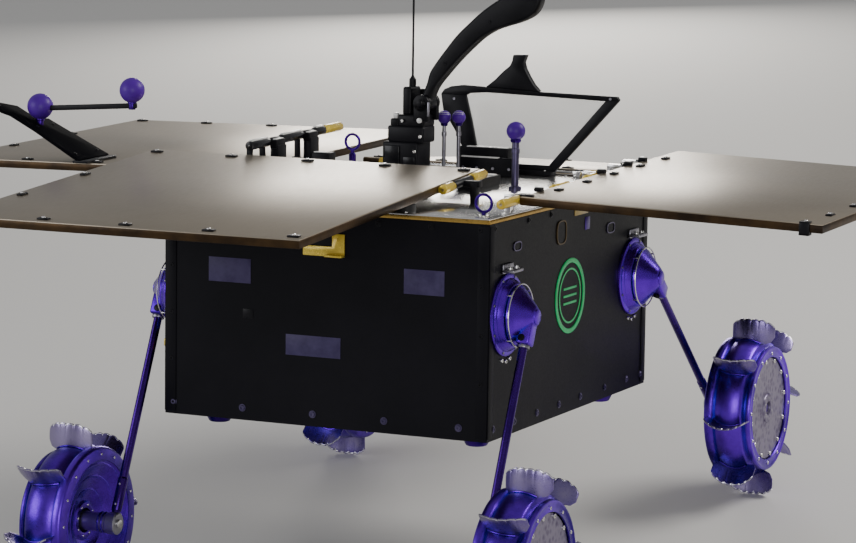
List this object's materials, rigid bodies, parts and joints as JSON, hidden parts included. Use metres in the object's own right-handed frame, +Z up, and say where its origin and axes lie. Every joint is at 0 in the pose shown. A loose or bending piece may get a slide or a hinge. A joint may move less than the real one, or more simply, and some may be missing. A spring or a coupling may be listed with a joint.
{
  "type": "planetary rover prototype",
  "caption": "Box-bodied planetary rover on swinging legs, with driven bladed metal wheels, fold-up solar panels and a deck mast.",
  "frame": {"origin": "on the ground under the middle of the bounding box", "axes": "+Z up, -Y towards the face with the two front legs, +X towards the side with the round emblem"},
  "size_m": [1.1164, 1.0974, 0.7343],
  "materials": {
    "dark_panel": "satin",
    "deck_metal": "satin",
    "panel_face": "satin",
    "violet_metal": "satin",
    "grey_metal": "satin",
    "black_fitting": "satin",
    "yellow_metal": "satin",
    "green_mark": "satin",
    "clear_pane": "gloss"
  },
  "bodies": {
    "chassis": {"battery_block": "black_fitting", "deck_plate": "deck_metal", "emblem_ring": "green_mark", "equipment_box": "black_fitting", "floor_pads": "black_fitting", "floor_plate": "dark_panel", "frame_horn": "black_fitting", "frame_pane": "clear_pane", "front_tab": "yellow_metal", "front_wall": "dark_panel", "hinge_blocks": "black_fitting", "left_wall": "dark_panel", "lifting_eyes": "violet_metal", "marker_balls": "violet_metal", "marker_posts": "grey_metal", "mast_mount": "black_fitting", "rear_frame": "black_fitting", "rear_wall": "dark_panel", "rest_pad": "black_fitting", "right_wall": "dark_panel", "shoulder_housings": "violet_metal", "whip_antenna": "black_fitting"},
    "leg_front_right": {"leg_cone_front_right": "violet_metal", "leg_tube_front_right": "violet_metal", "stub_axle_front_right": "grey_metal"},
    "wheel_front_right_body": {"wheel_front_right": "violet_metal", "hub_disc_front_right": "grey_metal", "hub_dish_front_right": "violet_metal"},
    "leg_front_left": {"leg_cone_front_left": "violet_metal", "leg_tube_front_left": "violet_metal", "stub_axle_front_left": "grey_metal"},
    "wheel_front_left_body": {"wheel_front_left": "violet_metal", "hub_disc_front_left": "grey_metal", "hub_dish_front_left": "violet_metal"},
    "leg_rear_right": {"leg_cone_rear_right": "violet_metal", "leg_tube_rear_right": "violet_metal", "stub_axle_rear_right": "grey_metal"},
    "wheel_rear_right_body": {"wheel_rear_right": "violet_metal", "hub_disc_rear_right": "grey_metal", "hub_dish_rear_right": "violet_metal"},
    "leg_rear_left": {"leg_cone_rear_left": "violet_metal", "leg_tube_rear_left": "violet_metal", "stub_axle_rear_left": "grey_metal"},
    "wheel_rear_left_body": {"wheel_rear_left": "violet_metal", "hub_disc_rear_left": "grey_metal", "hub_dish_rear_left": "violet_metal"},
    "solar_panel_front_body": {"solar_panel_front": "panel_face", "panel_hinge_front": "yellow_metal"},
    "solar_panel_right_body": {"solar_panel_right": "panel_face", "panel_hinge_right": "yellow_metal", "corner_fitting": "black_fitting"},
    "solar_panel_left_body": {"solar_panel_left": "panel_face", "panel_hinge_left": "yellow_metal", "marker_bar": "black_fitting"},
    "solar_panel_rear_body": {"solar_panel_rear": "panel_face", "panel_hinge_rear": "yellow_metal"},
    "mast_arm_body": {"mast_arm": "black_fitting", "mast_head": "black_fitting"}
  },
  "joints": [
    {"name": "leg_front_right_swing", "type": "hinge", "parent": "chassis", "child": "leg_front_right", "pos_m": [0.24429, -0.26747, 0.3328], "axis": [1, 0, 0], "range_deg": [-50, 29]},
    {"name": "wheel_front_right_spin", "type": "hinge", "parent": "leg_front_right", "child": "wheel_front_right_body", "pos_m": [0.29029, -0.40003, 0.106], "axis": [1, 0, 0], "continuous": true},
    {"name": "leg_front_left_swing", "type": "hinge", "parent": "chassis", "child": "leg_front_left", "pos_m": [-0.18371, -0.26747, 0.3328], "axis": [1, 0, 0], "range_deg": [-50, 29]},
    {"name": "wheel_front_left_spin", "type": "hinge", "parent": "leg_front_left", "child": "wheel_front_left_body", "pos_m": [-0.22971, -0.40003, 0.106], "axis": [1, 0, 0], "continuous": true},
    {"name": "leg_rear_right_swing", "type": "hinge", "parent": "chassis", "child": "leg_rear_right", "pos_m": [0.24429, 0.08272, 0.2972], "axis": [1, 0, 0], "range_deg": [-53, 26]},
    {"name": "wheel_rear_right_spin", "type": "hinge", "parent": "leg_rear_right", "child": "wheel_rear_right_body", "pos_m": [0.29029, 0.26287, 0.106], "axis": [1, 0, 0], "continuous": true},
    {"name": "leg_rear_left_swing", "type": "hinge", "parent": "chassis", "child": "leg_rear_left", "pos_m": [-0.18371, 0.08272, 0.2972], "axis": [1, 0, 0], "range_deg": [-53, 26]},
    {"name": "wheel_rear_left_spin", "type": "hinge", "parent": "leg_rear_left", "child": "wheel_rear_left_body", "pos_m": [-0.22971, 0.26287, 0.106], "axis": [1, 0, 0], "continuous": true},
    {"name": "solar_panel_front_fold", "type": "hinge", "parent": "chassis", "child": "solar_panel_front_body", "pos_m": [0.13229, -0.17367, 0.4498], "axis": [0, 0.9997, -0.0263], "range_deg": [0, 85]},
    {"name": "solar_panel_right_fold", "type": "hinge", "parent": "chassis", "child": "solar_panel_right_body", "pos_m": [0.22716, -0.05794, 0.43575], "axis": [0, -0.9969, 0.0789], "range_deg": [0, 85]},
    {"name": "solar_panel_left_fold", "type": "hinge", "parent": "chassis", "child": "solar_panel_left_body", "pos_m": [-0.15715, 0.09105, 0.44515], "axis": [0, 0.9969, -0.0789], "range_deg": [0, 80]},
    {"name": "solar_panel_rear_fold", "type": "hinge", "parent": "chassis", "child": "solar_panel_rear_body", "pos_m": [0.03029, 0.14188, 0.39817], "axis": [1, 0, 0], "range_deg": [0, 85]},
    {"name": "mast_arm_tilt", "type": "hinge", "parent": "chassis", "child": "mast_arm_body", "pos_m": [-0.00771, 0.03613, 0.49141], "axis": [0, -0.9949, 0.1011], "range_deg": [-20, 10]}
  ]
}
